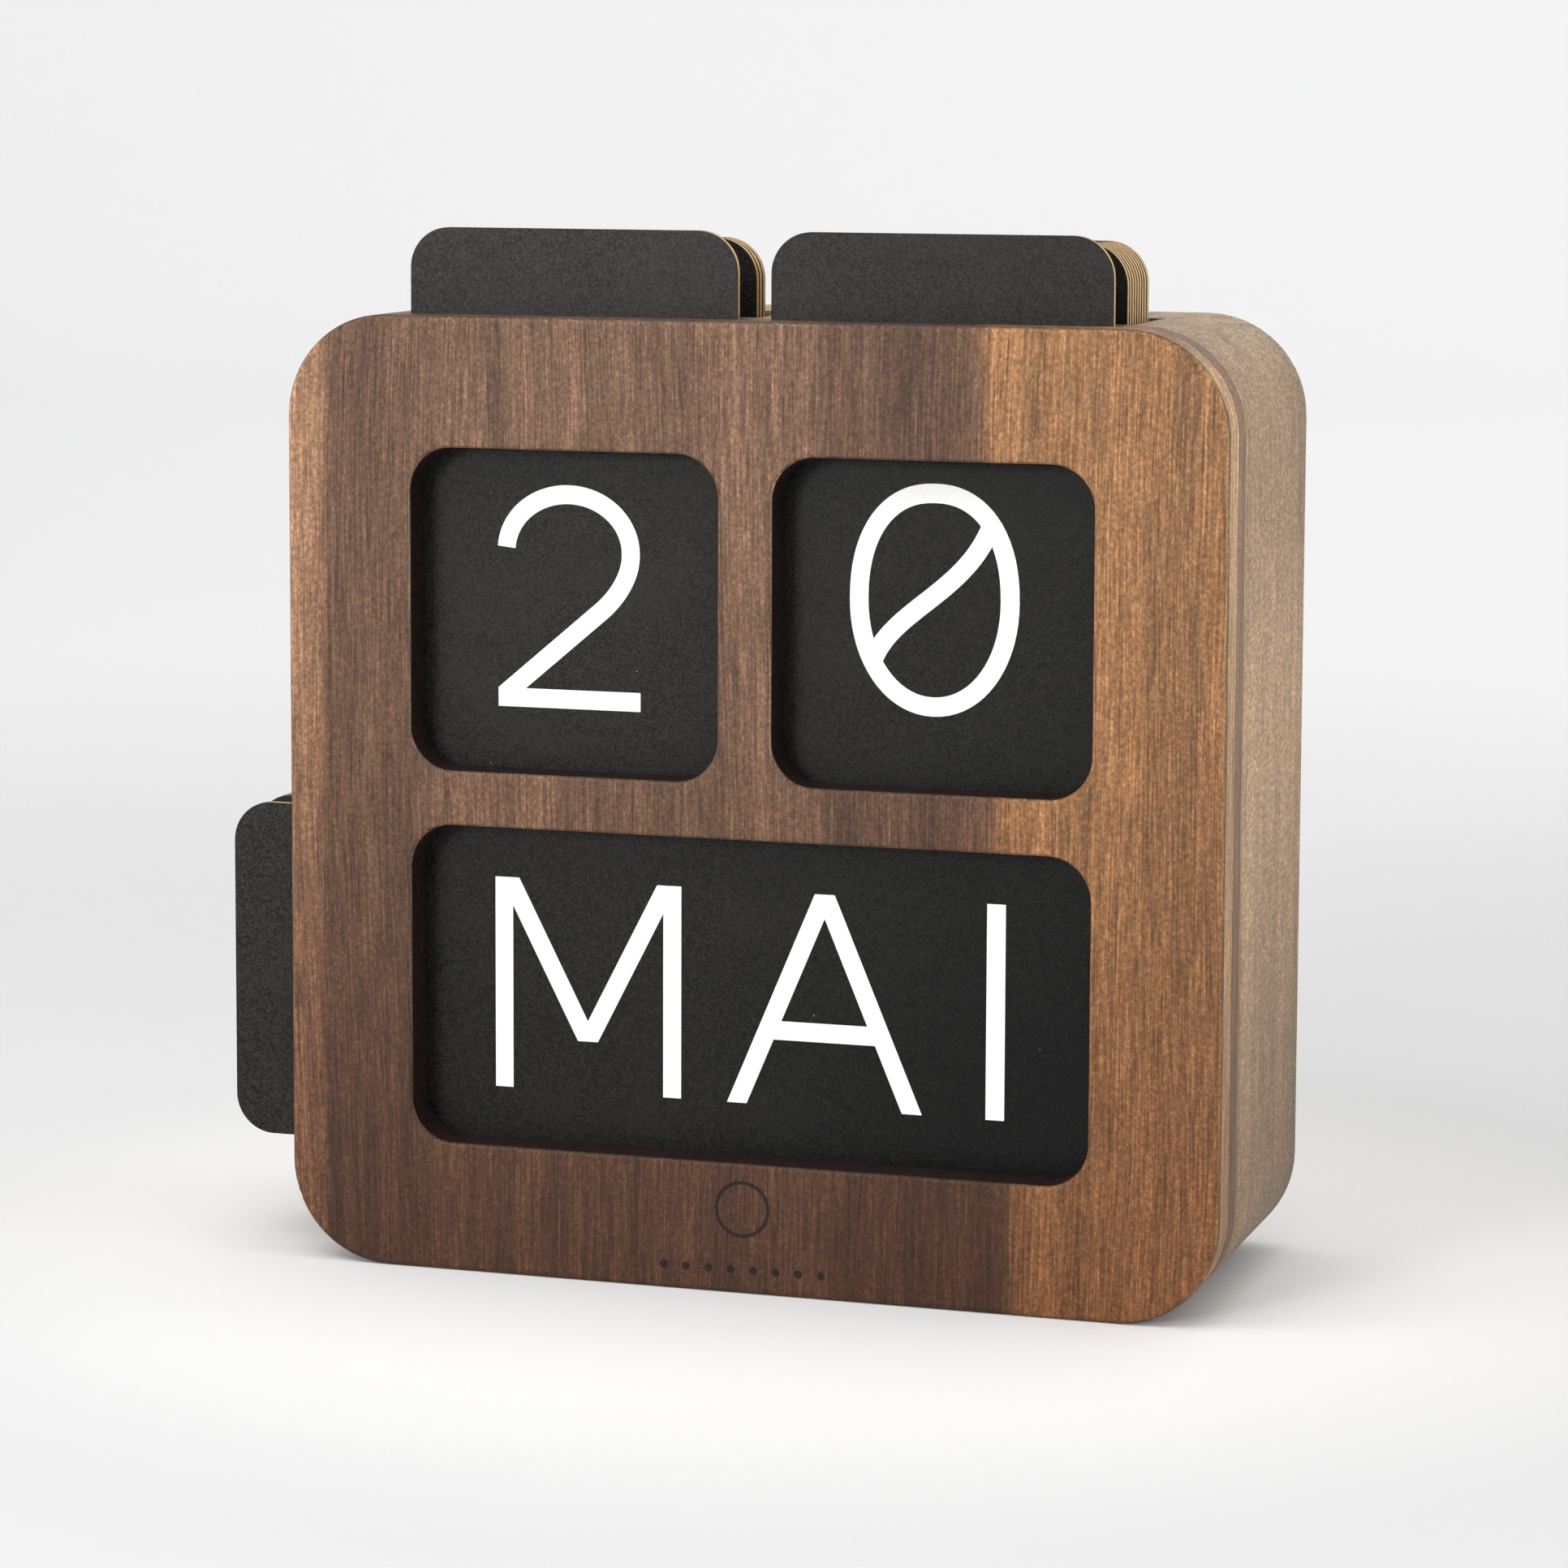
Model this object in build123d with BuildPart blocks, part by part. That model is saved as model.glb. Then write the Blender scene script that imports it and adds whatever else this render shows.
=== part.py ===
"""Block desk calendar: a laminated walnut case, and loose cards that slide out of its slots.

X runs across the front, Y from the front face to the back, Z up. The origin is the centre of the
base. The digit cards lift out of the top, and the month cards pull out of the left side.
"""

import os

from build123d import *

# Case
case_w = 140.0
case_h = 140.0
case_d = 55.5
case_corner_r = 15.0
front_edge_r = 0.8
rear_edge_r = 4.0
glue_line_chamfer = 0.15

# Windows in the front panel: two over one, with the same margin at the sides and below
panel_t = 6.0
window_margin = 19.0
window_bar = 8.0
window_corner_r = 6.3
window_edge_r = 0.5

# Cards
card_t = 1.2
card_corner_r = 5.9
card_side_overlap = 1.5
card_foot_overlap = 2.0
card_head_overlap = 1.0
digit_tab_out = 12.5
month_tab_out = 11.7
month_end_overlap = 2.3

# Fits between the cards and the case
slot_side_clearance = 0.8
slot_head_clearance = 0.8
card_side_rest = 0.2
card_front_gap = 0.3
card_back_gap = 0.7
slot_corner_r = 3.0
divider_t = 3.5

# Storage pockets behind the divider
storage_drop = 1.3
stack_gap = 0.25
stack_front_room = 2.6
tens_stack_front_room = 3.4
pocket_spare = 1.5

# Which cards there are, and which one of each set is shown
tens_digits = ["0", "1", "2", "3"]
units_digits = ["0", "1", "2", "3", "4", "5", "6", "7", "8", "9"]
month_names = ["jan", "feb", "mar", "apr", "may", "jun", "jul", "aug", "sep", "oct", "nov", "dec"]
tens_shown = "2"
units_shown = "0"
month_shown = "may"

# Window sizes and places, from the case and its margins
window_h = (case_h - 2 * window_margin - window_bar) / 2
digit_window_w = (case_w - 2 * window_margin - window_bar) / 2
month_window_w = case_w - 2 * window_margin
month_window_low = window_margin
digit_window_low = window_margin + window_h + window_bar
units_centre_x = (digit_window_w + window_bar) / 2
tens_centre_x = -units_centre_x

# Card sizes and seats
digit_card_w = digit_window_w + 2 * card_side_overlap
digit_seat_z = digit_window_low - card_foot_overlap
digit_card_h = case_h + digit_tab_out - digit_seat_z
month_seat_z = month_window_low - card_foot_overlap
month_card_h = window_h + card_foot_overlap + card_head_overlap
month_stop_x = month_window_w / 2 + month_end_overlap
month_card_w = month_stop_x + case_w / 2 + month_tab_out
card_side_shift = card_side_rest - slot_side_clearance

# Layers from front to back
front_y = -case_d / 2
slot_layer_y = front_y + panel_t
slot_depth = card_front_gap + card_t + card_back_gap
slot_layer_t = slot_depth + divider_t
block_y = slot_layer_y + slot_layer_t
block_t = case_d - panel_t - slot_layer_t
stack_pitch = card_t + stack_gap
pocket_depth = stack_front_room + (len(month_names) - 1) * stack_pitch + pocket_spare

# Slots run past the case where they are open
slot_w = digit_card_w + 2 * slot_side_clearance
month_slot_h = month_card_h + slot_head_clearance
open_end = 2 * slot_corner_r


def front_plane(depth_y):
    """A plane facing the front at a given depth: its x is the case's X, and its y is Z."""
    return Plane(origin=(0, depth_y, 0), x_dir=(1, 0, 0), z_dir=(0, -1, 0))


def case_outline():
    """The outline that the three layers share, drawn in the sketch that is open."""
    with Locations((0, case_h / 2)):
        RectangleRounded(case_w, case_h, case_corner_r)


def digit_slot_outline(centre_x, floor_z):
    """A slot with round lower corners that runs out of the top of the case."""
    height = case_h + open_end - floor_z
    with Locations((centre_x, floor_z + height / 2)):
        RectangleRounded(slot_w, height, slot_corner_r)


def month_slot_outline():
    """A slot with round inner corners that runs out of the left side of the case."""
    width = month_stop_x + case_w / 2 + open_end
    with Locations((month_stop_x - width / 2, month_seat_z + month_slot_h / 2)):
        RectangleRounded(width, month_slot_h, slot_corner_r)


def write(part, name):
    """Name a finished piece and write it as one STEP file."""
    part.label = name
    export_step(part, "parts/" + name + ".step")


def outer_edges(builder, rank):
    """The outline of the frontmost (rank 0) or rearmost (rank -1) face of a layer."""
    return builder.faces().sort_by(Axis.Y)[rank].outer_wire().edges()


os.makedirs("parts", exist_ok=True)

# Front panel with its three windows
with BuildPart() as front_panel:
    with BuildSketch(front_plane(front_y)):
        case_outline()
        with Locations(
            (tens_centre_x, digit_window_low + window_h / 2),
            (units_centre_x, digit_window_low + window_h / 2),
        ):
            RectangleRounded(digit_window_w, window_h, window_corner_r, mode=Mode.SUBTRACT)
        with Locations((0, month_window_low + window_h / 2)):
            RectangleRounded(month_window_w, window_h, window_corner_r, mode=Mode.SUBTRACT)
    extrude(amount=-panel_t)
    window_edges = front_panel.faces().sort_by(Axis.Y)[0].inner_wires().edges()
    fillet(window_edges, radius=window_edge_r)
    fillet(outer_edges(front_panel, 0), radius=front_edge_r)
    chamfer(outer_edges(front_panel, -1), length=glue_line_chamfer)
write(front_panel.part, "front_panel")

# Thin layer with the three display slots sunk into its front face: the rest of it is the divider
with BuildPart() as slot_frame:
    with BuildSketch(front_plane(slot_layer_y)):
        case_outline()
    extrude(amount=-slot_layer_t)
    chamfer(outer_edges(slot_frame, 0), length=glue_line_chamfer)
    chamfer(outer_edges(slot_frame, -1), length=glue_line_chamfer)
    with BuildSketch(front_plane(slot_layer_y)):
        digit_slot_outline(tens_centre_x, digit_seat_z)
        digit_slot_outline(units_centre_x, digit_seat_z)
        month_slot_outline()
    extrude(amount=-slot_depth, mode=Mode.SUBTRACT)
write(slot_frame.part, "slot_frame")

# Thick rear block with the storage pockets sunk into its front face
with BuildPart() as main_block:
    with BuildSketch(front_plane(block_y)):
        case_outline()
    extrude(amount=-block_t)
    chamfer(outer_edges(main_block, 0), length=glue_line_chamfer)
    fillet(outer_edges(main_block, -1), radius=rear_edge_r)
    with BuildSketch(front_plane(block_y)):
        digit_slot_outline(tens_centre_x, digit_seat_z - storage_drop)
        digit_slot_outline(units_centre_x, digit_seat_z - storage_drop)
        month_slot_outline()
    extrude(amount=-pocket_depth, mode=Mode.SUBTRACT)
write(main_block.part, "main_block")


def make_card(name, centre_x, centre_z, width, height, card_y):
    """One card with rounded corners, its front face at depth card_y."""
    with BuildPart() as card:
        with BuildSketch(front_plane(card_y)):
            with Locations((centre_x, centre_z)):
                RectangleRounded(width, height, card_corner_r)
        extrude(amount=-card_t)
    write(card.part, name)


def card_depths(names, shown, front_room):
    """Depth of each card's front face: the shown one in its slot, the rest stacked in the pocket."""
    depths = {shown: slot_layer_y + card_front_gap}
    stored = [name for name in names if name != shown]
    for place, name in enumerate(stored):
        depths[name] = block_y + front_room + place * stack_pitch
    return depths


def make_digit_cards(prefix, digits, shown, slot_centre_x, front_room):
    """A set of digit cards. The stored ones stand a little lower than the shown one."""
    depths = card_depths(digits, shown, front_room)
    for digit in digits:
        drop = 0 if digit == shown else storage_drop
        centre_z = digit_seat_z - drop + digit_card_h / 2
        centre_x = slot_centre_x + card_side_shift
        make_card(prefix + digit, centre_x, centre_z, digit_card_w, digit_card_h, depths[digit])


make_digit_cards("tens_card_", tens_digits, tens_shown, tens_centre_x, tens_stack_front_room)
make_digit_cards("units_card_", units_digits, units_shown, units_centre_x, stack_front_room)

# Month cards lie on the slot floor with their right ends against its end
month_depths = card_depths(month_names, month_shown, stack_front_room)
month_centre_x = month_stop_x - month_card_w / 2
month_centre_z = month_seat_z + month_card_h / 2
for month in month_names:
    make_card(
        "month_card_" + month,
        month_centre_x,
        month_centre_z,
        month_card_w,
        month_card_h,
        month_depths[month],
    )
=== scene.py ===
"""Looks of the block desk calendar: oiled walnut case, black cards with a tan core and white print."""

import math

import bmesh
import bpy
from mathutils import Matrix, Vector


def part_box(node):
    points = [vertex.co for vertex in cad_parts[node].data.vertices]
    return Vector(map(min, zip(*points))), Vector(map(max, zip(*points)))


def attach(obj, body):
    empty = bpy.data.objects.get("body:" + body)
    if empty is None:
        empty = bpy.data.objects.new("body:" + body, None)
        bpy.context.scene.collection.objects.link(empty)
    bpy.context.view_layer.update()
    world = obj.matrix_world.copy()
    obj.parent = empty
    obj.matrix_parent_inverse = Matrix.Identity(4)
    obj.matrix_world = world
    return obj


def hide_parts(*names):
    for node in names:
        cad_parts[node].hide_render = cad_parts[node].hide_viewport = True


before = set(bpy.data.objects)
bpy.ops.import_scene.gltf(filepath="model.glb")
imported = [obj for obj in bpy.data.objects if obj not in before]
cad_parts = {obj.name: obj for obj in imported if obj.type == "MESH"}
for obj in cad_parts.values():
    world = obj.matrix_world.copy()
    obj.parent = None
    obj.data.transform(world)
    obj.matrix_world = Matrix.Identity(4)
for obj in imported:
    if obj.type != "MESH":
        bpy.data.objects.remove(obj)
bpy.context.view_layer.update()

MM = 0.001
PANEL_LOW, PANEL_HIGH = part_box("front_panel")
LAYER_BACK_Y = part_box("slot_frame")[1].y
FRONT_Y = PANEL_LOW.y
CASE_W = PANEL_HIGH.x - PANEL_LOW.x
CASE_H = PANEL_HIGH.z - PANEL_LOW.z


# ---------------------------------------------------------------- material nodes

class Shader:
    """A material under construction. Lengths in its textures are millimetres of the row frame."""

    def __init__(self, name):
        self.material = bpy.data.materials.new(name)
        self.material.use_nodes = True
        self.tree = self.material.node_tree
        self.tree.nodes.clear()
        self.output = self.tree.nodes.new("ShaderNodeOutputMaterial")
        self.surface = self.tree.nodes.new("ShaderNodeBsdfPrincipled")
        self.tree.links.new(self.surface.outputs[0], self.output.inputs["Surface"])
        coordinates = self.tree.nodes.new("ShaderNodeTexCoord")
        self.place = self.scale(coordinates.outputs["Object"], 1 / MM)
        self.x, self.y, self.z = self.split(self.place)
        self.normal = self.split(coordinates.outputs["Normal"])

    def put(self, node, index, value):
        """Sets an input: a socket is linked, anything else is its value."""
        if isinstance(value, bpy.types.NodeSocket):
            self.tree.links.new(value, node.inputs[index])
        else:
            node.inputs[index].default_value = value

    def math(self, operation, *values, clamp=False):
        node = self.tree.nodes.new("ShaderNodeMath")
        node.operation = operation
        node.use_clamp = clamp
        for index, value in enumerate(values):
            self.put(node, index, value)
        return node.outputs[0]

    def add(self, first, second):
        return self.math("ADD", first, second)

    def subtract(self, first, second):
        return self.math("SUBTRACT", first, second)

    def times(self, first, second):
        return self.math("MULTIPLY", first, second)

    def absolute(self, value):
        return self.math("ABSOLUTE", value)

    def length(self, first, second):
        """The length of a vector with these two components."""
        return self.math("SQRT", self.add(self.times(first, first), self.times(second, second)))

    def vector_math(self, operation, first, second):
        node = self.tree.nodes.new("ShaderNodeVectorMath")
        node.operation = operation
        self.put(node, 0, first)
        self.put(node, 1, second)
        return node.outputs[0]

    def scale(self, vector, factor):
        """A vector or a tone times one number."""
        node = self.tree.nodes.new("ShaderNodeVectorMath")
        node.operation = "SCALE"
        self.put(node, 0, vector)
        self.put(node, "Scale", factor)
        return node.outputs[0]

    def split(self, vector):
        node = self.tree.nodes.new("ShaderNodeSeparateXYZ")
        self.put(node, 0, vector)
        return node.outputs[0], node.outputs[1], node.outputs[2]

    def join(self, x, y, z):
        node = self.tree.nodes.new("ShaderNodeCombineXYZ")
        for index, value in enumerate((x, y, z)):
            self.put(node, index, value)
        return node.outputs[0]

    def step(self, value, low, high):
        """0 below low, 1 above high, and smooth between. With low above high it falls."""
        node = self.tree.nodes.new("ShaderNodeMapRange")
        node.interpolation_type = "SMOOTHSTEP"
        self.put(node, 0, value)
        if low < high:
            node.inputs[1].default_value, node.inputs[2].default_value = low, high
        else:
            node.inputs[1].default_value, node.inputs[2].default_value = high, low
            node.inputs[3].default_value, node.inputs[4].default_value = 1.0, 0.0
        return node.outputs[0]

    def noise(self, size, detail=2.0, roughness=0.5, at=None, offset=0.0):
        """Noise whose blobs are size = (x, y, z) millimetres, from 0 to 1."""
        scaled = self.vector_math("DIVIDE", self.place if at is None else at, Vector(size))
        moved = self.vector_math("ADD", scaled, Vector((offset, offset * 1.7, offset * 0.6)))
        node = self.tree.nodes.new("ShaderNodeTexNoise")
        self.put(node, "Vector", moved)
        node.inputs["Scale"].default_value = 1.0
        node.inputs["Detail"].default_value = detail
        node.inputs["Roughness"].default_value = roughness
        return node.outputs["Fac"]

    def cells(self, size, offset=0.0):
        """Distance to scattered points about size millimetres apart, and a random value for each."""
        scaled = self.vector_math("DIVIDE", self.place, Vector(size))
        moved = self.vector_math("ADD", scaled, Vector((offset, offset, offset)))
        node = self.tree.nodes.new("ShaderNodeTexVoronoi")
        self.put(node, "Vector", moved)
        node.inputs["Scale"].default_value = 1.0
        return node.outputs["Distance"], self.split(node.outputs["Color"])[0]

    def mix(self, factor, first, second, blend="MIX"):
        node = self.tree.nodes.new("ShaderNodeMix")
        node.data_type = "RGBA"
        node.blend_type = blend
        self.put(node, 0, factor)
        self.put(node, 6, colour(first))
        self.put(node, 7, colour(second))
        return node.outputs[2]

    def tint(self, factor, tone, by):
        """A tone, multiplied channel by channel as far as the factor says."""
        return self.mix(factor, tone, self.mix(1.0, tone, by, "MULTIPLY"))

    def bump(self, height, distance, strength):
        """Relief from a height of 0 to 1, distance millimetres deep."""
        node = self.tree.nodes.new("ShaderNodeBump")
        node.inputs["Strength"].default_value = strength
        node.inputs["Distance"].default_value = distance * MM
        self.put(node, "Height", height)
        return node.outputs[0]

    def finish(self, base, roughness, specular, normal=None):
        """Sets the surface, and gives the finished material."""
        self.put(self.surface, "Base Color", base)
        self.put(self.surface, "Roughness", roughness)
        self.put(self.surface, "Specular IOR Level", specular)
        if normal is not None:
            self.put(self.surface, "Normal", normal)
        return self.material


def colour(value):
    """An RGB triple gets its alpha; a socket stays as it is."""
    return (*value, 1.0) if isinstance(value, tuple) else value


# ---------------------------------------------------------------- wood

# Tones, linear RGB
SAP = (0.270, 0.145, 0.078)
SAP_LOW = (0.190, 0.096, 0.054)
HONEY = (0.272, 0.132, 0.053)
UMBER = (0.152, 0.082, 0.0475)
UMBER_DEEP = (0.116, 0.061, 0.035)
UMBER_LOW = (0.078, 0.0335, 0.0155)
DUSK = (0.072, 0.0362, 0.0208)
LAYER_TONE = (0.194, 0.114, 0.063)
BLOCK_PALE = (0.455, 0.292, 0.155)
BLOCK_DEEP = (0.385, 0.245, 0.134)
PORE = (0.030, 0.015, 0.010)
# Painted shade on the rounded front edge.
EDGE_SHADE_TONE = (0.05, 0.026, 0.016)
# Painted shade in the pockets.
POCKET_SHADE = (0.045, 0.024, 0.015)
# Near black, for the window walls and the burnt mark.
NEAR_BLACK = (0.006, 0.003, 0.002)
NEAR_BLACK_RED = (0.020, 0.006, 0.0035)

# Tints that a tone is multiplied by
PURPLE = (0.74, 0.80, 0.96)
# Painted shade that darkens the front towards the bottom.
FRONT_LOW_SHADE = (0.545, 0.440, 0.345)
# Painted shade that darkens the block towards the bottom.
BLOCK_LOW_SHADE = (0.54, 0.53, 0.52)
END_CUT = (0.90, 1.00, 1.12)
END_DOT = (0.55, 0.52, 0.50)
# Painted sheen that lightens and greys the right side of the front panel.
PANEL_SIDE_SHEEN = (1.72, 2.22, 2.75)
GLUE_LINE = (2.1, 2.1, 1.7)
# Painted shade in the slots.
SLOT_SHADE = (0.30, 0.26, 0.25)

# The staves and the case's outline, in millimetres
CASE_CORNER = 15.0
SEAM_LEAN = 0.038
HONEY_SEAM = (37.5, 42.5)
SAP_SEAM = (-63.7, -65.4)
FINE_GRIT = (0.42, 0.42, 0.55)
BLOCK_GRIT = (0.42, 1.3, 0.55)
WINDOW_INSET = (9.0, 10.0)

# The burnt ring and its row of dots, in millimetres
MARK_Z = 12.4
MARK_R = 3.9
MARK_LINE = 0.27
MARK_BLUR = 0.08
DOT_Z = 3.5
DOT_PITCH = 3.4
DOT_R = 0.62
DOT_ROW_HALF = 13.6


def outline_depth(shader):
    """How far inside the rounded outline of the case a point is, in millimetres."""
    half_w, half_h = CASE_W / 2 / MM, CASE_H / 2 / MM
    from_x = shader.subtract(shader.absolute(shader.x), half_w - CASE_CORNER)
    from_z = shader.subtract(shader.absolute(shader.subtract(shader.z, half_h)), half_h - CASE_CORNER)
    rounded = shader.length(shader.math("MAXIMUM", from_x, 0.0), shader.math("MAXIMUM", from_z, 0.0))
    inner = shader.math("MINIMUM", shader.math("MAXIMUM", from_x, from_z), 0.0)
    return shader.subtract(CASE_CORNER, shader.add(rounded, inner))


def grain(shader, base, seed, contrast=1.0, low_shade=FRONT_LOW_SHADE, grit=FINE_GRIT):
    """Walnut figure over a base tone that painted shade darkens towards the bottom: wandering streaks, dark
    lines, fibre and grit. Grain runs along Z.
    """
    drift = shader.noise((30, 30, 90), detail=1.0, offset=seed)
    wander = shader.times(shader.subtract(drift, 0.5), 5.0)
    flow = shader.join(shader.add(shader.x, wander), shader.y, shader.z)
    # Painted shade: the base tone darkens towards the bottom.
    base = shader.tint(shader.step(shader.z, 128.0, -16.0), base, low_shade)

    streaks = shader.noise((6, 6, 150), detail=2.0, roughness=0.55, at=flow, offset=seed + 3)
    lines = shader.noise((1.1, 1.3, 60), detail=2.0, roughness=0.6, at=flow, offset=seed + 7)
    fibre = shader.noise((0.36, 0.36, 10), detail=2.0, roughness=0.6, at=flow, offset=seed + 11)
    specks = shader.noise(grit, detail=3.0, roughness=0.75, offset=seed + 13)
    stops = 0.0
    for weight, pattern in ((1.5 * contrast, streaks), (1.6 * contrast, lines), (3.3 * contrast, fibre),
                            (4.2, specks)):
        stops = shader.add(stops, shader.times(shader.subtract(pattern, 0.5), weight))
    tone = shader.scale(base, shader.math("POWER", 2.0, stops))
    tone = shader.tint(shader.times(shader.step(streaks, 0.48, 0.34), 0.18), tone, PURPLE)

    pores = shader.noise((0.30, 0.34, 9.0), detail=1.0, roughness=0.5, at=flow, offset=seed + 17)
    pore_mask = shader.step(pores, 0.60, 0.72)
    tone = shader.mix(shader.times(pore_mask, 0.38), tone, PORE)

    normal = shader.bump(shader.subtract(shader.times(fibre, 0.5), pore_mask), 0.05, 0.5)
    roughness = shader.add(shader.times(specks, 0.20), 0.44)
    return tone, roughness, normal


def end_grain(shader, tone, seed):
    """Top and bottom faces cut across the fibres: darker, with dots in place of lines."""
    facing = shader.absolute(shader.normal[2])
    dots = shader.noise((0.5, 0.5, 0.5), detail=2.0, roughness=0.6, offset=seed + 23)
    rings = shader.noise((1.6, 9.0, 40), detail=2.0, offset=seed + 29)
    cut = shader.mix(1.0, tone, END_CUT, "MULTIPLY")
    cut = shader.tint(shader.times(shader.step(dots, 0.48, 0.66), 0.6), cut, END_DOT)
    cut = shader.mix(shader.times(shader.step(rings, 0.50, 0.62), 0.3), cut, DUSK)
    return shader.mix(shader.step(facing, 0.55, 0.85), tone, cut)


def burnt_mark(shader, depth):
    """A plain burnt ring over a row of dots, low in the middle of the front face."""
    radius = shader.length(shader.x, shader.subtract(shader.z, MARK_Z))
    from_ring = shader.absolute(shader.subtract(radius, MARK_R))
    ring = shader.step(from_ring, MARK_LINE + MARK_BLUR, MARK_LINE - MARK_BLUR)
    in_pitch = shader.math("FRACT", shader.math("DIVIDE", shader.x, DOT_PITCH))
    across = shader.times(shader.subtract(in_pitch, 0.5), DOT_PITCH)
    dot_radius = shader.length(across, shader.subtract(shader.z, DOT_Z))
    in_row = shader.step(shader.absolute(shader.x), DOT_ROW_HALF, DOT_ROW_HALF - 0.01)
    dots = shader.times(shader.step(dot_radius, DOT_R + MARK_BLUR, DOT_R - MARK_BLUR), in_row)
    return shader.times(shader.math("MAXIMUM", ring, dots), shader.step(depth, 0.10, 0.02))


def front_staves(shader):
    """Base tones of three glued staves: a sapwood strip, wide dark heartwood, and a warmer lighter one."""
    leaning = shader.add(shader.x, shader.times(shader.z, SEAM_LEAN))
    ragged = shader.times(shader.subtract(shader.noise((3, 3, 22), detail=2.0), 0.5), 2.2)
    seam = shader.add(leaning, ragged)
    drift = shader.noise((26, 26, 240), detail=1.0, offset=41)
    heart = shader.mix(shader.step(drift, 0.30, 0.70), UMBER, UMBER_DEEP)
    dusk_side = shader.times(shader.step(leaning, 8.0, 24.0), 0.55)
    heart = shader.mix(dusk_side, heart, DUSK)
    darkest = shader.add(shader.times(dusk_side, 0.30), 0.56)
    heart = shader.mix(shader.times(shader.step(shader.z, 70.0, 0.0), darkest), heart, UMBER_LOW)
    heart = shader.mix(shader.times(shader.step(shader.x, -42.0, -56.0), 0.42), heart, DUSK)
    base = shader.mix(shader.step(seam, *HONEY_SEAM), heart, HONEY)
    sap = shader.mix(shader.step(shader.z, 96.0, 40.0), SAP, SAP_LOW)
    sap_edge = shader.add(shader.x, shader.times(ragged, 0.4))
    base = shader.mix(shader.step(sap_edge, *SAP_SEAM), base, sap)
    edge_streak = shader.times(shader.step(seam, 68.2, 69.4), shader.step(seam, 71.2, 69.8))
    return shader.mix(shader.times(edge_streak, 0.15), base, UMBER)


def front_panel_wood():
    """The front's three staves, with near-black window walls, painted shade on the rounded front edge, and
    the burnt mark.
    """
    shader = Shader("walnut_front_panel")
    tone, roughness, normal = grain(shader, front_staves(shader), seed=5.0)
    # Painted sheen on the front panel's right side, lighter and greyer than its front.
    on_right_side = shader.times(shader.step(shader.normal[0], 0.35, 0.85), 0.9)
    tone = shader.tint(on_right_side, tone, PANEL_SIDE_SHEEN)
    tone = end_grain(shader, tone, seed=5.0)

    inside = outline_depth(shader)
    depth = shader.subtract(shader.y, FRONT_Y / MM)
    # Window walls painted near black, with dark red flecks.
    wall = shader.times(shader.step(inside, *WINDOW_INSET), shader.step(depth, 0.30, 0.75))
    wall_flecks = shader.noise((0.8, 0.8, 0.8), detail=2.0, offset=31)
    tone = shader.mix(wall, tone, shader.mix(shader.step(wall_flecks, 0.45, 0.62), NEAR_BLACK, NEAR_BLACK_RED))
    tone = shader.mix(shader.times(burnt_mark(shader, depth), 0.94), tone, NEAR_BLACK)
    # Painted shade: a dark band on the rounded front edge, just behind the front face, near the outline.
    edge_shade = shader.times(shader.step(depth, 0.10, 0.45), shader.step(depth, 1.1, 0.55))
    edge_shade = shader.times(edge_shade, shader.step(inside, 9.0, 8.0))
    tone = shader.mix(shader.times(edge_shade, 0.6), tone, EDGE_SHADE_TONE)
    roughness = shader.math("ADD", roughness, shader.times(wall, 0.4), clamp=True)
    return shader.finish(tone, roughness, 0.24, normal)


def layer_wood():
    """The thin darker layer: a pale glue line at its back edge, and painted shade in its slots."""
    shader = Shader("walnut_slot_layer")
    tone, roughness, normal = grain(shader, LAYER_TONE, seed=61.0, contrast=0.8)
    tone = end_grain(shader, tone, seed=61.0)
    back = LAYER_BACK_Y / MM
    tone = shader.tint(shader.step(shader.y, back - 1.2, back - 0.9), tone, GLUE_LINE)
    # Painted shade: the slot walls, more than 2 mm inside the outline, are darkened.
    tone = shader.tint(shader.step(outline_depth(shader), 0.8, 2.0), tone, SLOT_SHADE)
    return shader.finish(tone, roughness, 0.30, normal)


def block_wood():
    """The rear block, lighter than the front, with painted light and shade on its sides and painted shade
    down in its pockets.
    """
    shader = Shader("walnut_rear_block")
    drift = shader.noise((34, 20, 220), detail=1.0, offset=77)
    base = shader.mix(shader.step(drift, 0.35, 0.65), BLOCK_PALE, BLOCK_DEEP)
    # Painted light and shade on the sides: lighter in a band at mid height, darker towards the rear.
    middle = shader.times(shader.step(shader.z, 5.0, 75.0), shader.step(shader.z, 120.0, 85.0))
    rear = shader.times(shader.step(shader.y, 0.0, 20.0), -0.24)
    side_light_and_shade = shader.add(shader.times(middle, 0.33), rear)
    on_side = shader.step(shader.absolute(shader.normal[0]), 0.35, 0.85)
    base = shader.scale(base, shader.add(shader.times(side_light_and_shade, on_side), 0.87))
    tone, roughness, normal = grain(shader, base, seed=91.0, contrast=0.45, low_shade=BLOCK_LOW_SHADE, grit=BLOCK_GRIT)
    tone = end_grain(shader, tone, seed=91.0)
    # Painted shade down in the pockets, inside the outline near the block's front.
    pocket_shade = shader.times(shader.step(outline_depth(shader), 1.2, 6.0), shader.step(shader.y, 6.0, 4.5))
    tone = shader.mix(shader.times(pocket_shade, 0.72), tone, POCKET_SHADE)
    return shader.finish(tone, roughness, 0.30, normal)


# ---------------------------------------------------------------- card board, print and floor

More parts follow.
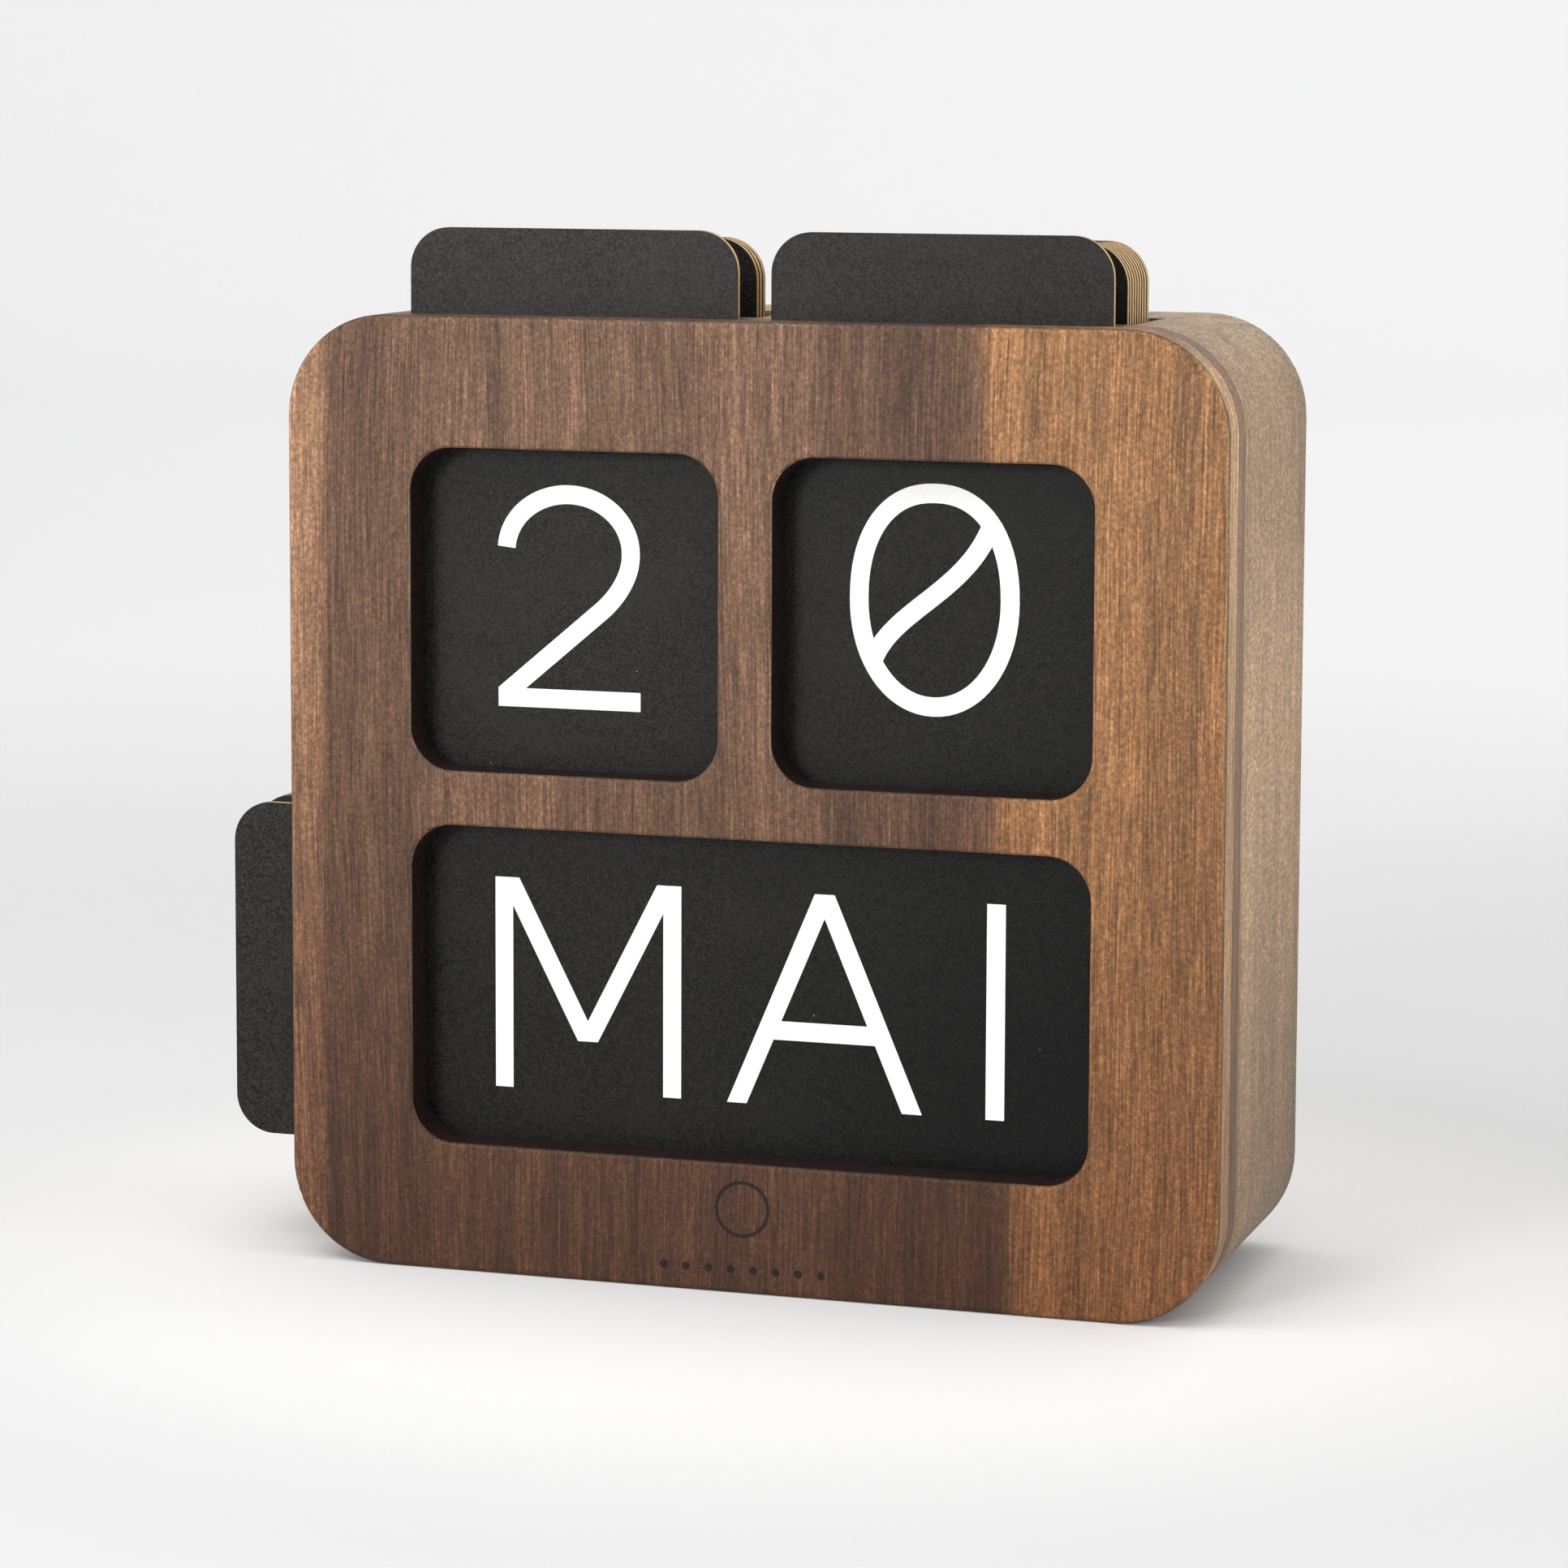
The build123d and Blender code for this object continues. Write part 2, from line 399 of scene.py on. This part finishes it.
FACING_DARK = (0.0020, 0.0019, 0.0017)
FACING_LIGHT = (0.0280, 0.0267, 0.0240)
FACING_LAID = (0.024, 0.023, 0.0215)
FACING_CLOUD = (0.021, 0.020, 0.019)
DUST = (0.42, 0.40, 0.37)
CORE_DEEP = (0.52, 0.34, 0.150)
CORE_PALE = (0.88, 0.60, 0.27)
CORE_SCORCHED = (0.40, 0.225, 0.085)
INK_FULL = (0.90, 0.895, 0.88)
INK_THIN = (0.84, 0.835, 0.82)
INK_WORN = (0.80, 0.795, 0.78)
PAPER_DIM = (0.795, 0.795, 0.798)
PAPER_PALE = (0.810, 0.810, 0.810)
# Painted shade for the ring round the object.
PAPER_RING_SHADE = (0.640, 0.640, 0.642)
# Painted light for the floor at the object's foot.
PAPER_FOOT_LIGHT = (0.830, 0.829, 0.823)


def facing_paper():
    """Matt black paper: fine tooth, faint rubbing, a few specks of dust, and painted light: lighter on the
    parts that stick out of the case, darker towards the right and the bottom.
    """
    shader = Shader("card_black_facing")
    tooth = shader.noise((0.30, 0.30, 0.30), detail=4.0, roughness=0.7)
    laid = shader.noise((1.9, 0.5, 0.22), detail=3.0, roughness=0.65, offset=9)
    cloud = shader.noise((16, 16, 12), detail=2.0, offset=15)
    tone = shader.mix(shader.step(tooth, 0.35, 0.70), FACING_DARK, FACING_LIGHT)
    tone = shader.mix(shader.times(shader.step(laid, 0.50, 0.70), 0.35), tone, FACING_LAID)
    tone = shader.mix(shader.times(shader.step(cloud, 0.45, 0.70), 0.25), tone, FACING_CLOUD)
    near, chance = shader.cells((5.5, 5.5, 5.5), offset=2.3)
    speck = shader.times(shader.step(near, 0.030, 0.016), shader.step(chance, 0.80, 0.82))
    tone = shader.mix(shader.times(speck, 0.6), tone, DUST)
    # Painted light on the tabs that stick out above and beside the case, and painted shade towards the right
    # and the bottom.
    case_top, case_left = CASE_H / MM, -CASE_W / 2 / MM
    above_case = shader.step(shader.z, case_top - 8.0, case_top + 2.0)
    beside_case = shader.step(shader.x, case_left + 4.0, case_left - 2.0)
    tab_light = shader.math("MAXIMUM", above_case, beside_case)
    painted_light_and_shade = shader.add(shader.times(tab_light, 0.55), 1.15)
    painted_light_and_shade = shader.subtract(painted_light_and_shade, shader.times(shader.step(shader.x, -25.0, 45.0), 0.45))
    painted_light_and_shade = shader.subtract(painted_light_and_shade, shader.times(shader.step(shader.z, 85.0, 30.0), 0.38))
    tone = shader.scale(tone, painted_light_and_shade)
    normal = shader.bump(shader.add(shader.times(tooth, 0.6), shader.times(laid, 0.4)), 0.05, 0.6)
    roughness = shader.add(shader.times(tooth, 0.24), 0.30)
    return shader.finish(tone, roughness, 0.13, normal)


def core_board():
    """Tan pressed board at the cut edges, with brown scorched patches."""
    shader = Shader("card_tan_core")
    fibre = shader.noise((0.8, 0.12, 0.8), detail=3.0, roughness=0.7)
    patch = shader.noise((3.0, 1.2, 3.0), detail=2.0, offset=21)
    tone = shader.mix(shader.step(fibre, 0.35, 0.68), CORE_DEEP, CORE_PALE)
    tone = shader.mix(shader.times(shader.step(patch, 0.52, 0.66), 0.45), tone, CORE_SCORCHED)
    return shader.finish(tone, 0.72, 0.3, shader.bump(fibre, 0.04, 0.6))


def print_ink():
    """White screen print: nearly even, a little thin in places."""
    shader = Shader("card_white_print")
    thin = shader.noise((0.5, 0.5, 0.5), detail=3.0, roughness=0.6, offset=4)
    worn = shader.noise((7, 7, 7), detail=2.0, offset=6)
    tone = shader.mix(shader.step(thin, 0.40, 0.75), INK_FULL, INK_THIN)
    tone = shader.mix(shader.times(shader.step(worn, 0.55, 0.75), 0.2), tone, INK_WORN)
    roughness = shader.add(shader.times(thin, 0.1), 0.5)
    return shader.finish(tone, roughness, 0.3, shader.bump(thin, 0.015, 0.5))


def floor_finish():
    """Pale seamless paper with the faintest mottling; painted shade greys it in a ring round the object, and
    painted light makes it lightest at the object's foot.
    """
    shader = Shader("studio_paper")
    tone = shader.mix(shader.noise((300, 300, 300), detail=2.0), PAPER_DIM, PAPER_PALE)
    distance = shader.length(shader.x, shader.y)
    # Painted shade: greyer in a ring round the object, evening out the lamps' pool of light.
    tone = shader.mix(shader.step(distance, 850.0, 200.0), tone, PAPER_RING_SHADE)
    # Painted light: lightest at the object's foot, over its contact shadow.
    tone = shader.mix(shader.step(distance, 160.0, 60.0), tone, PAPER_FOOT_LIGHT)
    return shader.finish(tone, 0.9, 0.1)


# ---------------------------------------------------------------- outlines and meshes

# The card boards, in metres
CARD_CORNER = 5.9 * MM
FACING_T = 0.13 * MM
FACING_EASE = 0.07 * MM
EASE_MIDDLE = 0.3 * FACING_EASE
CORE_INSET = 0.03 * MM
CORNER_STEPS = 14

# The print, in millimetres: one width of stroke for all figures and letters
STROKE = 2.75
FIGURE_H = 32.6
LETTER_H = 31.2
LOW = STROKE / 2
FIGURE_TOP = FIGURE_H - LOW
LETTER_TOP = LETTER_H - LOW
BOWL_Z = 10.8
BOWL_RX = 9.6
BOWL_RZ = 9.4
PRINT_T = 0.03 * MM
PRINT_SUNK = 0.02 * MM
FIGURE_FOOT = {"tens": 11.0 * MM, "units": 12.3 * MM}
LETTER_FOOT = 9.6 * MM
PRINT_SHIFT_X = -0.6 * MM
WORD_CENTRE_X = -1.5 * MM
WORD_MAX_W = 86.0
LETTER_GAP = 8.0
KERN = {"MA": -1.0, "AI": 1.4}
UMLAUT_RISE = 5.2
CURVE_STEP_DEG = 5.0

MONTH_WORDS = {
    "jan": "JAN", "feb": "FEB", "mar": "MÄR", "apr": "APR", "may": "MAI", "jun": "JUN",
    "jul": "JUL", "aug": "AUG", "sep": "SEP", "oct": "OKT", "nov": "NOV", "dec": "DEZ",
}


def arc(cx, cz, rx, rz, start, end, power=1.0):
    """Points of an elliptical arc between two angles in degrees. A power under 1 fills its shoulders out."""
    count = max(2, round(abs(end - start) / CURVE_STEP_DEG))
    points = []
    for i in range(count + 1):
        turn = math.radians(start + (end - start) * i / count)
        across, up = (math.copysign(abs(value) ** power, value) for value in (math.cos(turn), math.sin(turn)))
        points.append((cx + rx * across, cz + rz * up))
    return points


def bezier(p0, p1, p2, p3, count=24):
    """Points of a cubic curve."""
    points = []
    for i in range(count + 1):
        t = i / count
        s = 1 - t
        weights = (s ** 3, 3 * s * s * t, 3 * s * t * t, t ** 3)
        points.append(tuple(sum(w * p[axis] for w, p in zip(weights, (p0, p1, p2, p3))) for axis in (0, 1)))
    return points


def rounded_rectangle(width, height, radius):
    """Outline points round the origin, anticlockwise, in metres."""
    points = []
    for quarter, (sx, sz) in enumerate(((1, 1), (-1, 1), (-1, -1), (1, -1))):
        cx, cz = sx * (width / 2 - radius), sz * (height / 2 - radius)
        for i in range(CORNER_STEPS + 1):
            turn = math.radians(90 * (quarter + i / CORNER_STEPS))
            points.append((cx + radius * math.cos(turn), cz + radius * math.sin(turn)))
    return points


def new_object(name, mesh_builder, materials):
    """A mesh object from a bmesh, with its face normals turned outward."""
    mesh = bpy.data.meshes.new(name)
    bmesh.ops.recalc_face_normals(mesh_builder, faces=mesh_builder.faces)
    mesh_builder.to_mesh(mesh)
    mesh_builder.free()
    for material in materials:
        mesh.materials.append(material)
    piece = bpy.data.objects.new(name, mesh)
    bpy.context.scene.collection.objects.link(piece)
    return piece


def card_board(name, low, high, facing, core):
    """One card: two black facings with eased edges over a tan core set back a hair.

    Each ring of points is (inset, depth, material of the band behind it).
    """
    width, height = high.x - low.x, high.z - low.z
    centre_x, centre_z = (low.x + high.x) / 2, (low.z + high.z) / 2
    rings = [
        (FACING_EASE, low.y, 0), (EASE_MIDDLE, low.y + EASE_MIDDLE, 0),
        (0.0, low.y + FACING_EASE, 0), (0.0, low.y + FACING_T, 0), (CORE_INSET, low.y + FACING_T, 1),
        (CORE_INSET, high.y - FACING_T, 0), (0.0, high.y - FACING_T, 0), (0.0, high.y - FACING_EASE, 0),
        (EASE_MIDDLE, high.y - EASE_MIDDLE, 0), (FACING_EASE, high.y, 0),
    ]
    builder = bmesh.new()
    loops = []
    for inset, depth, _ in rings:
        outline = rounded_rectangle(width - 2 * inset, height - 2 * inset, CARD_CORNER - inset)
        loops.append([builder.verts.new((centre_x + x, depth, centre_z + z)) for x, z in outline])
    for (_, _, slot), front, back in zip(rings, loops, loops[1:]):
        for i in range(len(front)):
            j = (i + 1) % len(front)
            face = builder.faces.new((front[i], front[j], back[j], back[i]))
            face.material_index = slot
            face.smooth = True
    builder.faces.new(loops[0])
    builder.faces.new(list(reversed(loops[-1])))
    return new_object(name, builder, [facing, core])


def ribbon(path, level_start, level_end):
    """Both sides of a stroke along a path. A level end is cut along X, any other across the stroke."""
    sides = []
    for i, (x, z) in enumerate(path):
        before = Vector(path[max(i - 1, 0)])
        after = Vector(path[min(i + 1, len(path) - 1)])
        here = Vector((x, z))
        if i == 0 or i == len(path) - 1:
            along = (after - before).normalized()
            normal = Vector((-along.y, along.x))
            offset = normal * STROKE / 2
            level = level_start if i == 0 else level_end
            if level:
                offset = offset - along * (offset.y / along.y)
        else:
            first, second = (here - before).normalized(), (after - here).normalized()
            mitre = (Vector((-first.y, first.x)) + Vector((-second.y, second.x))).normalized()
            offset = mitre * (STROKE / 2 / mitre.dot(Vector((-first.y, first.x))))
        sides.append((here + offset, here - offset))
    return sides


def stroke_prism(stroke):
    """One stroke as a thin closed prism. A stroke is (path, level_start, level_end) or (path, "closed")."""
    path = stroke[0]
    closed = stroke[1] == "closed"
    builder = bmesh.new()
    if closed:
        sides = ribbon([path[-2]] + path[:-1] + [path[0], path[1]], False, False)[1:-2]
    else:
        sides = ribbon(path, stroke[1], stroke[2])
    rows = []
    for left, right in sides:
        rows.append([builder.verts.new((p.x * MM, y, p.y * MM))
                     for y in (-PRINT_T, PRINT_SUNK) for p in (left, right)])
    count = len(rows) if closed else len(rows) - 1
    for i in range(count):
        a, b = rows[i], rows[(i + 1) % len(rows)]
        for first, second in ((0, 1), (1, 3), (3, 2), (2, 0)):
            builder.faces.new((a[first], a[second], b[second], b[first]))
    if not closed:
        for row in (rows[0], rows[-1]):
            builder.faces.new((row[0], row[1], row[3], row[2]))
    return builder


def slab(points):
    """A stroke with both ends level."""
    return (points, True, True)


def plain(points):
    """A stroke with both ends cut square."""
    return (points, False, False)


def loop(points):
    """A stroke that runs round and meets itself. Its last point repeats its first."""
    return (points, "closed")


def stem(x, low=0.0, high=LETTER_H):
    """An upright stroke."""
    return slab([(x, low), (x, high)])


def bar(z, left, right):
    """A level stroke."""
    return plain([(left, z), (right, z)])


def half_round(stem_x, x, top, low, reach):
    """A stroke that leaves a stem, turns round to the right and comes back to it."""
    return plain([(stem_x, top)] + arc(x, (top + low) / 2, reach, (top - low) / 2, 90, -90) + [(stem_x, low)])


def figures():
    """The ten figures as strokes, centred on x = 0 and standing on z = 0, in millimetres."""
    six_tail = [(3.8, 32.2), (-7.7, 16.4)]
    nine_tail = [(-x, FIGURE_H - z) for x, z in six_tail]
    zero = arc(0, 16.5, 11.1, 15.2, 0, 180, 0.89) + arc(0, 16.5, 11.1, 15.2, 180, 360, 0.97)[1:]
    two_head = arc(-0.05, 22.9, 9.55, 8.3, 177, 0)
    two_neck = bezier((9.5, 22.6), (9.5, 19.2), (7.0, 16.1), (5.0, 14.4)) + [(-8.85, STROKE - 0.05)]
    five_flag = [(8.4, FIGURE_TOP), (-6.6, FIGURE_TOP)]
    return {
        "0": [loop(zero), plain(bezier((-9.0, 7.6), (-6.2, 15.2), (5.2, 17.8), (8.6, 28.2)))],
        "1": [stem(2.6, 0.0, FIGURE_H), plain([(-6.2, 24.4), (2.4, 31.2)])],
        "2": [(two_head + two_neck, False, True), bar(LOW, -10.9, 11.0)],
        "3": [plain(arc(-0.6, 24.0, 8.4, 7.2, 158, -90)), plain(arc(-0.6, 9.1, 9.8, 7.7, 90, -158))],
        "4": [([(3.4, FIGURE_H), (-10.4, 9.2), (11.2, 9.2)], True, False), stem(5.0, 0.0, 17.6)],
        "5": [plain(five_flag + arc(-0.8, BOWL_Z, BOWL_RX, BOWL_RZ, 138, -156))],
        "6": [loop(arc(0, BOWL_Z, BOWL_RX, BOWL_RZ, 0, 360)), plain(six_tail)],
        "7": [([(-9.6, FIGURE_TOP), (8.4, FIGURE_TOP), (-4.0, 0)], False, True)],
        "8": [loop(arc(0, 24.1, 7.8, 7.1, 0, 360)), loop(arc(0, 9.2, 9.8, 7.8, 0, 360))],
        "9": [loop(arc(0, FIGURE_H - BOWL_Z, BOWL_RX, BOWL_RZ, 0, 360)), plain(nine_tail)],
    }


def letters():
    """The capitals the month names need: (half width, strokes), standing on z = 0, in millimetres."""
    top, middle = LETTER_H, LETTER_H / 2
    round_half = middle - LOW
    a_legs = [slab([(-13.2, 0), (0, top)]), slab([(13.2, 0), (0, top)]), bar(11.0, -8.8, 8.8)]
    dots = [bar(top + UMLAUT_RISE, x - LOW, x + LOW) for x in (-5.2, 5.2)]
    p_bowl = half_round(-8.6, 1.6, LETTER_TOP, LETTER_TOP - 15.4, 7.8)
    b_waist = LETTER_TOP - 13.0
    b_lower = plain([(1.2, b_waist)] + arc(1.8, LOW + 7.7, 7.8, 7.7, 90, -90) + [(-8.6, LOW)])
    s_upper = arc(0, LETTER_TOP - 7.0, 8.0, 7.0, 28, 270)
    s_lower = arc(0, LOW + 7.35, 8.6, 7.35, 90, -155)
    z_slant = slab([(8.0, LETTER_TOP), (-8.4, LOW)])
    return {
        "A": (14.7, a_legs),
        "Ä": (14.7, a_legs + dots),
        "B": (10.6, [stem(-9.2), half_round(-8.6, 1.2, LETTER_TOP, b_waist, 6.8), b_lower]),
        "D": (12.6, [stem(-11.2), half_round(-10.8, -1.6, LETTER_TOP, LOW, 12.6)]),
        "E": (9.6, [stem(-8.2), bar(LETTER_TOP, -8.2, 9.4), bar(16.4, -8.2, 7.6), bar(LOW, -8.2, 9.4)]),
        "F": (9.4, [stem(-8.0), bar(LETTER_TOP, -8.0, 9.2), bar(16.0, -8.0, 7.4)]),
        "G": (14.0, [plain(arc(0, middle, 12.8, round_half, 42, 352)), bar(middle - 1.0, 2.6, 13.6)]),
        "I": (1.4, [stem(0)]),
        "J": (7.6, [(arc(-0.4, 8.4, 6.6, 8.4 - LOW, 200, 360) + [(6.2, top)], False, True)]),
        "K": (10.6, [stem(-9.2), slab([(-8.6, 12.4), (9.2, top)]), slab([(9.8, 0), (-3.4, 17.6)])]),
        "L": (8.8, [stem(-7.4), bar(LOW, -7.4, 8.6)]),
        "M": (14.4, [stem(-13.0), stem(13.0), slab([(-12.2, top), (0, 7.5)]), slab([(12.2, top), (0, 7.5)])]),
        "N": (11.8, [stem(-10.4), stem(10.4), slab([(-10.2, top), (10.2, 0)])]),
        "O": (13.8, [loop(arc(0, middle, 12.4, round_half + 0.2, 0, 360))]),
        "P": (10.2, [stem(-8.8), p_bowl]),
        "R": (10.4, [stem(-8.8), p_bowl, slab([(8.8, 0), (0.4, LETTER_TOP - 15.0)])]),
        "S": (9.8, [plain(s_upper + s_lower[1:])]),
        "T": (11.0, [bar(LETTER_TOP, -11.0, 11.0), stem(0, 0.0, LETTER_TOP)]),
        "U": (11.0, [slab([(-9.6, top)] + arc(0, 10.2, 9.6, 10.2 - LOW, 180, 360) + [(9.6, top)])]),
        "V": (12.6, [slab([(-11.2, top), (0, 0)]), slab([(11.2, top), (0, 0)])]),
        "Z": (10.4, [bar(LETTER_TOP, -9.8, 9.8), bar(LOW, -10.2, 10.2), z_slant]),
    }


def glyph_mesh(name, strokes):
    """The strokes of one figure or letter, united into one closed mesh."""
    whole = None
    for number, stroke in enumerate(strokes):
        part = new_object("stroke_" + name + str(number), stroke_prism(stroke), [])
        if whole is None:
            whole = part
            continue
        union = whole.modifiers.new("unite", "BOOLEAN")
        union.operation = "UNION"
        union.solver = "EXACT"
        union.object = part
        evaluated = whole.evaluated_get(bpy.context.evaluated_depsgraph_get())
        merged = bpy.data.meshes.new_from_object(evaluated)
        whole.modifiers.clear()
        unmerged = whole.data
        whole.data = merged
        bpy.data.meshes.remove(unmerged)
        bpy.data.objects.remove(part)
    mesh = whole.data
    bpy.data.objects.remove(whole)
    return mesh


def printed(name, placed, ink):
    """One print: copies of glyph meshes at their places, as a single piece."""
    builder = bmesh.new()
    for mesh, place in placed:
        start = len(builder.verts)
        builder.from_mesh(mesh)
        builder.verts.ensure_lookup_table()
        bmesh.ops.translate(builder, verts=builder.verts[start:], vec=place)
    return new_object(name, builder, [ink])


# ---------------------------------------------------------------- the pieces

facing, core, ink = facing_paper(), core_board(), print_ink()
figure_meshes = {digit: glyph_mesh(digit, strokes) for digit, strokes in figures().items()}
letter_forms = letters()
letter_meshes = {letter: glyph_mesh(letter, form[1]) for letter, form in letter_forms.items()}


def add_card(node):
    """The board that stands for a card's CAD node."""
    low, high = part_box(node)
    board = card_board(node + "_board", low, high, facing, core)
    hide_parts(node)
    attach(board, node)
    return low, high


def add_print(node, placed):
    """The white print on a card's face."""
    mark = printed(node + "_print", placed, ink)
    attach(mark, node)


def word_places(word, low):
    """Places of a word's letters across the month window, with one gap between all of them."""
    widths = [2 * letter_forms[letter][0] for letter in word]
    gap = min(LETTER_GAP, (WORD_MAX_W - sum(widths)) / (len(word) - 1))
    gaps = [gap + KERN.get(word[i:i + 2], 0.0) for i in range(len(word) - 1)] + [0.0]
    cursor = -(sum(widths) + sum(gaps)) / 2
    places = []
    for width, after in zip(widths, gaps):
        places.append(Vector((WORD_CENTRE_X + (cursor + width / 2) * MM, low.y, low.z + LETTER_FOOT)))
        cursor += width + after
    return places


for node in sorted(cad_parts):
    if "_card_" not in node:
        continue
    low, high = add_card(node)
    kind, _, mark = node.partition("_card_")
    if kind == "month":
        word = MONTH_WORDS[mark]
        add_print(node, [(letter_meshes[c], p) for c, p in zip(word, word_places(word, low))])
    else:
        middle = (low.x + high.x) / 2 + PRINT_SHIFT_X
        add_print(node, [(figure_meshes[mark], Vector((middle, low.y, low.z + FIGURE_FOOT[kind])))])

for node, wood in (("front_panel", front_panel_wood()), ("slot_frame", layer_wood()),
                   ("main_block", block_wood())):
    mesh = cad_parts[node].data
    mesh.materials.clear()
    mesh.materials.append(wood)


# ---------------------------------------------------------------- stage, lights and camera

# The floor and the wall round it, in metres
FLOOR_Z = -0.02 * MM
FLOOR_FLAT_R = 2.0
WALL_R = 3.2
WALL_H = 2.6
WALL_STEPS = 24
ROUND_STEPS = 96
WORLD_STRENGTH = 0.82

# The camera: metres, degrees, and millimetres of lens
CAMERA_AIM = Vector((0.006, FRONT_Y, 0.0969))
CAMERA_DISTANCE = 0.6961
CAMERA_TURN = 17.6
CAMERA_DROP = 6.4
CAMERA_ROLL = 0.22
CAMERA_LENS = 112.9
CAMERA_SENSOR = 36.0
CAMERA_SHIFT = -0.10

OBJECT_CENTRE = (0.0, 0.0, CASE_H / 2)


def studio_bowl():
    """A flat round floor that curves up into a wall all round, so no horizon shows."""
    profile = [(FLOOR_FLAT_R * 0.5, FLOOR_Z)]
    for i in range(WALL_STEPS + 1):
        turn = math.pi / 2 * i / WALL_STEPS
        radius = FLOOR_FLAT_R + (WALL_R - FLOOR_FLAT_R) * math.sin(turn)
        profile.append((radius, FLOOR_Z + WALL_H * (1 - math.cos(turn))))
    builder = bmesh.new()
    centre = builder.verts.new((0, 0, FLOOR_Z))
    rings = []
    for radius, height in profile:
        turns = [2 * math.pi * i / ROUND_STEPS for i in range(ROUND_STEPS)]
        rings.append([builder.verts.new((radius * math.cos(t), radius * math.sin(t), height)) for t in turns])
    for i in range(ROUND_STEPS):
        j = (i + 1) % ROUND_STEPS
        builder.faces.new((centre, rings[0][i], rings[0][j]))
        for inner, outer in zip(rings, rings[1:]):
            builder.faces.new((inner[i], outer[i], outer[j], inner[j])).smooth = True
    bowl = new_object("studio_bowl", builder, [floor_finish()])


def softbox(name, place, aim, width, height, power):
    """A soft white rectangular light that faces a point."""
    light = bpy.data.lights.new(name, "AREA")
    light.shape = "RECTANGLE"
    light.size, light.size_y = width, height
    light.energy = power
    lamp = bpy.data.objects.new(name, light)
    lamp.location = place
    lamp.rotation_mode = "QUATERNION"
    lamp.rotation_quaternion = (Vector(aim) - Vector(place)).to_track_quat("-Z", "Y")
    lamp.visible_camera = False
    bpy.context.scene.collection.objects.link(lamp)


studio_bowl()
# Each light: place and aim in metres, width and height in metres, power in watts
softbox("front_strip", (-0.12, -0.26, 0.42), OBJECT_CENTRE, 0.40, 0.20, 0.7)
softbox("front_left_window", (-0.44, -1.28, 0.38), OBJECT_CENTRE, 0.36, 0.36, 7.8)
softbox("right_window", (1.2, 0.1, 0.30), OBJECT_CENTRE, 0.8, 0.8, 3.8)
softbox("rear_right_window", (0.6, 1.6, 0.9), OBJECT_CENTRE, 1.2, 1.2, 1.0)
softbox("overhead", (0.10, 0.0, 0.95), (0.10, 0.0, 0.0), 0.6, 0.6, 2.0)
softbox("left_window", (-1.2, -0.3, 0.6), OBJECT_CENTRE, 0.8, 0.8, 1.1)
softbox("wall_wash", (0.0, 0.9, 2.3), (0.0, 3.0, 1.4), 1.6, 0.6, 24.0)

world = bpy.data.worlds.new("studio_air")
world.use_nodes = True
air = world.node_tree.nodes["Background"]
air.inputs["Color"].default_value = (1.0, 1.0, 1.0, 1.0)
air.inputs["Strength"].default_value = WORLD_STRENGTH
bpy.context.scene.world = world
bpy.context.scene.view_settings.view_transform = "Standard"

camera_data = bpy.data.cameras.new("photo_camera")
camera_data.sensor_width = CAMERA_SENSOR
camera_data.lens = CAMERA_LENS
camera_data.shift_y = CAMERA_SHIFT
camera_data.clip_start = 0.01
camera_data.clip_end = 20.0
camera = bpy.data.objects.new("photo_camera", camera_data)
turn = Matrix.Rotation(math.radians(CAMERA_TURN), 4, "Z")
tilt = Matrix.Rotation(math.radians(90 - CAMERA_DROP), 4, "X")
roll = Matrix.Rotation(math.radians(CAMERA_ROLL), 4, "Z")
facing_way = turn @ tilt @ roll
camera_place = CAMERA_AIM + facing_way @ Vector((0, 0, CAMERA_DISTANCE))
camera.matrix_world = Matrix.Translation(camera_place) @ facing_way
bpy.context.scene.collection.objects.link(camera)
bpy.context.scene.camera = camera
